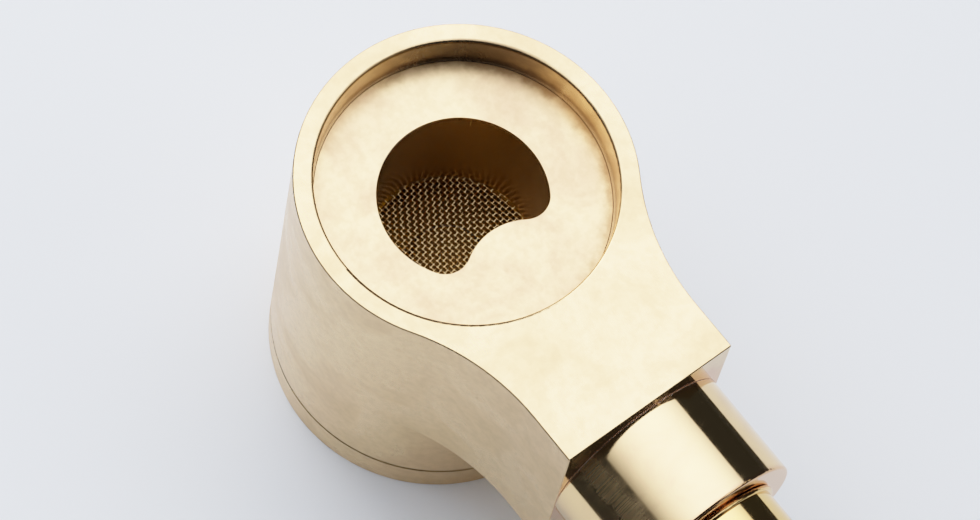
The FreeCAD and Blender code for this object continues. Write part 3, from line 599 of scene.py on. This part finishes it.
def woven_cloth():
    mesh = bmesh.new()
    count = int(cloth_radius / CLOTH_PITCH)
    for family in range(2):
        turn = Matrix.Rotation(CLOTH_TURN + family * math.pi / 2, 3, "Z")
        for row in range(-count, count + 1):
            aside = row * CLOTH_PITCH
            reach = math.sqrt(max(cloth_radius ** 2 - aside ** 2, 0.0))
            steps = max(int(2 * reach / CLOTH_PITCH * STEPS_PER_CROSSING), 2)
            line = []
            for step in range(steps + 1):
                travel = -reach + 2 * reach * step / steps
                wave = math.cos(math.pi * (travel / CLOTH_PITCH + row + family))
                line.append(turn @ Vector((travel, aside, 0)) + Vector((0, 0, cloth_z + CRIMP_HEIGHT * wave)))
            add_wire(mesh, line, WIRE_RADIUS, WIRE_SIDES)
    data = bpy.data.meshes.new("woven_cloth")
    mesh.to_mesh(data)
    mesh.free()
    data.shade_smooth()
    return bpy.data.objects.new("woven_cloth", data)


cloth = woven_cloth()
bpy.context.scene.collection.objects.link(cloth)
cloth.data.materials.append(wire_finish)
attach(cloth, "strainer")
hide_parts("strainer_screen")
print("cloth faces:", len(cloth.data.polygons))

# %% [markdown]
# The studio is a pale sheet on a table, a hair below the base so that the two never share a
# plane.

# %% The pale sheet


def stage_plane(name, centre, across, up, material):
    """A flat rectangle with half sizes across and up."""
    across, up = Vector(across), Vector(up)
    corners = [centre + a * across + b * up for a, b in ((-1, -1), (1, -1), (1, 1), (-1, 1))]
    data = bpy.data.meshes.new(name)
    data.from_pydata(corners, [], [(0, 1, 2, 3)])
    plane = bpy.data.objects.new(name, data)
    bpy.context.scene.collection.objects.link(plane)
    data.materials.append(material)
    return plane


SHEET_GAP = 0.02 * MM
SHEET_HALF_SIZE = 3
paper = new_material("pale_paper", metallic=0.0, roughness=0.9, colour=rgb(0.90, 0.92, 0.945))[0]
sheet_middle = Vector((0, 0, -SHEET_GAP))
stage_plane("table_sheet", sheet_middle, (SHEET_HALF_SIZE, 0, 0), (0, SHEET_HALF_SIZE, 0), paper)

# %% [markdown]
# One very large soft light hangs over the sheet. It stops just past the object, so polished
# brass mirrors a bright panel above, the pale sheet below, and a dark band of unlit room
# between them. Its glow fades to both sides, and faster on one of them.

# %% The large soft light
PANEL_HEIGHT = 0.8
PANEL_EDGE = 0.14
PANEL_DEPTH = 2.4
PANEL_HALF_WIDTH = 1.27
PANEL_SLANT = 0.13
PANEL_STRENGTH = 4.4
PANEL_COLOUR = rgb(0.95, 1.0, 1.10)
BRIGHTEST_Y = 0.15 * PANEL_HEIGHT
FADE_SPREAD = 1.25
LEFT_NARROWING = 0.25


def soft_panel():
    """The overhead light, brightest near the middle and fading to its two sides."""
    material = bpy.data.materials.new("soft_panel")
    material.use_nodes = True
    material.node_tree.nodes.clear()
    wires = Wiring(material.node_tree)
    glow = wires.add("ShaderNodeEmission", Color=PANEL_COLOUR)
    output = wires.add("ShaderNodeOutputMaterial")
    wires.feed(output.inputs["Surface"], glow.outputs[0])
    point = wires.add("ShaderNodeSeparateXYZ", Vector=object_point(wires))
    from_brightest = wires.math("SUBTRACT", point.outputs["Y"], BRIGHTEST_Y)
    sideways = wires.math("DIVIDE", from_brightest, PANEL_HEIGHT)
    is_left = wires.math("LESS_THAN", sideways, 0.0)
    spread = wires.math("SUBTRACT", FADE_SPREAD, wires.math("MULTIPLY", is_left, LEFT_NARROWING))
    share = wires.math("DIVIDE", sideways, spread)
    fade = wires.math("EXPONENT", wires.math("MULTIPLY", wires.math("MULTIPLY", share, share), -1.0))
    wires.feed(glow.inputs["Strength"], wires.math("MULTIPLY", fade, PANEL_STRENGTH))
    middle = Vector(((PANEL_EDGE - PANEL_DEPTH) / 2, 0, 1)) * PANEL_HEIGHT
    back = Vector(((PANEL_EDGE + PANEL_DEPTH) / 2, 0, 0)) * PANEL_HEIGHT
    side = Vector((-PANEL_SLANT, -1, 0)) * PANEL_HALF_WIDTH * PANEL_HEIGHT
    stage_plane("soft_panel", middle, back, side, material)


soft_panel()

# %% [markdown]
# Two small lights stand far off past the two ends of the part. They lift the sheet and the
# shadows, and because of where they stand neither the collar nor any flat face mirrors them to
# the camera.
# Two black cards beside the arm are seen only in reflections. They widen the dark lines that
# give polished brass its shape.

# %% End lights and black cards
END_LIGHT_SIZE = 0.5
CARD_HALF_LENGTH = 0.5
CARD_HEIGHT = 0.04


def end_light(name, place, strength):
    """A soft square light that faces the object."""
    data = bpy.data.lights.new(name, "AREA")
    data.size = END_LIGHT_SIZE
    data.energy = strength
    light = bpy.data.objects.new(name, data)
    light.location = place
    light.rotation_euler = (-Vector(place)).to_track_quat("-Z", "Y").to_euler()
    bpy.context.scene.collection.objects.link(light)


def black_card(name, distance):
    """A card that stands on the sheet beside the arm and shows only in reflections."""
    middle = Vector((0, distance, CARD_HEIGHT / 2))
    card = stage_plane(name, middle, (CARD_HALF_LENGTH, 0, 0), (0, 0, CARD_HEIGHT / 2), black_paper)
    card.visible_camera = False
    card.visible_diffuse = False
    card.visible_shadow = False


end_light("end_light_out", (0.6, 0.6, 0.9), 2.0)
end_light("end_light_back", (-0.9, 0.1, 0.45), 2.3)
black_paper = new_material("black_paper", metallic=0.0, roughness=0.8, colour=rgb(0.01, 0.01, 0.01))[0]
black_card("card_near", -0.10)
black_card("card_far", 0.25)

# %% [markdown]
# The unlit room is almost black, with a little light left to keep shadows open.

# %% The dim room
ROOM_STRENGTH = 0.036
world = bpy.data.worlds.new("dim_room")
bpy.context.scene.world = world
world.use_nodes = True
room = world.node_tree.nodes["Background"].inputs
room["Color"].default_value = rgb(0.9, 0.95, 1.0)
room["Strength"].default_value = ROOM_STRENGTH

# %% [markdown]
# The camera looks steeply down over the arm with a long lens, rolled a little, as a hand-held
# product shot is.

# %% The camera
CAMERA_AZIMUTH = math.radians(-51.704)
CAMERA_ELEVATION = math.radians(65.99)
CAMERA_ROLL = math.radians(-14.68)
AIM_OFFSET = Vector((-0.1285, -0.451, 26.83)) * head_radius
LENS_MM = 172.69


def place_camera():
    data = bpy.data.cameras.new("product_camera")
    data.lens = LENS_MM
    data.sensor_width = 36.0
    data.clip_start = 0.01
    data.clip_end = 20.0
    camera = bpy.data.objects.new("product_camera", data)
    bpy.context.scene.collection.objects.link(camera)
    forward = -Vector((math.cos(CAMERA_ELEVATION) * math.cos(CAMERA_AZIMUTH),
                       math.cos(CAMERA_ELEVATION) * math.sin(CAMERA_AZIMUTH), math.sin(CAMERA_ELEVATION)))
    right = forward.cross(Vector((0, 0, 1))).normalized()
    down = forward.cross(right)
    cos_roll, sin_roll = math.cos(CAMERA_ROLL), math.sin(CAMERA_ROLL)
    rolled_right = cos_roll * right + sin_roll * down
    rolled_down = -sin_roll * right + cos_roll * down
    axes = Matrix((rolled_right, -rolled_down, -forward)).transposed()
    aim = rolled_right * AIM_OFFSET.x + rolled_down * AIM_OFFSET.y + forward * AIM_OFFSET.z
    camera.matrix_world = Matrix.Translation(Vector((0, 0, top_z)) - aim) @ axes.to_4x4()
    bpy.context.scene.camera = camera


place_camera()

# %% [markdown]
# Film answers light in a curve that never quite reaches white, so the colour management gets
# that curve: one minus the exponential of minus the light.

# %% The film response
FILM_RANGE = 5.0
view = bpy.context.scene.view_settings
view.view_transform = "Standard"
view.look = "None"
view.use_curve_mapping = True
response = view.curve_mapping
response.white_level = (FILM_RANGE, FILM_RANGE, FILM_RANGE)
curve = response.curves[3]
film_steps = (0.05, 0.1, 0.2, 0.3, 0.45, 0.65)
curve.points[0].location = (0.0, 0.0)
curve.points[1].location = (1.0, 1.0 - math.exp(-FILM_RANGE))
for light in film_steps:
    curve.points.new(light, 1.0 - math.exp(-light * FILM_RANGE))
response.update()
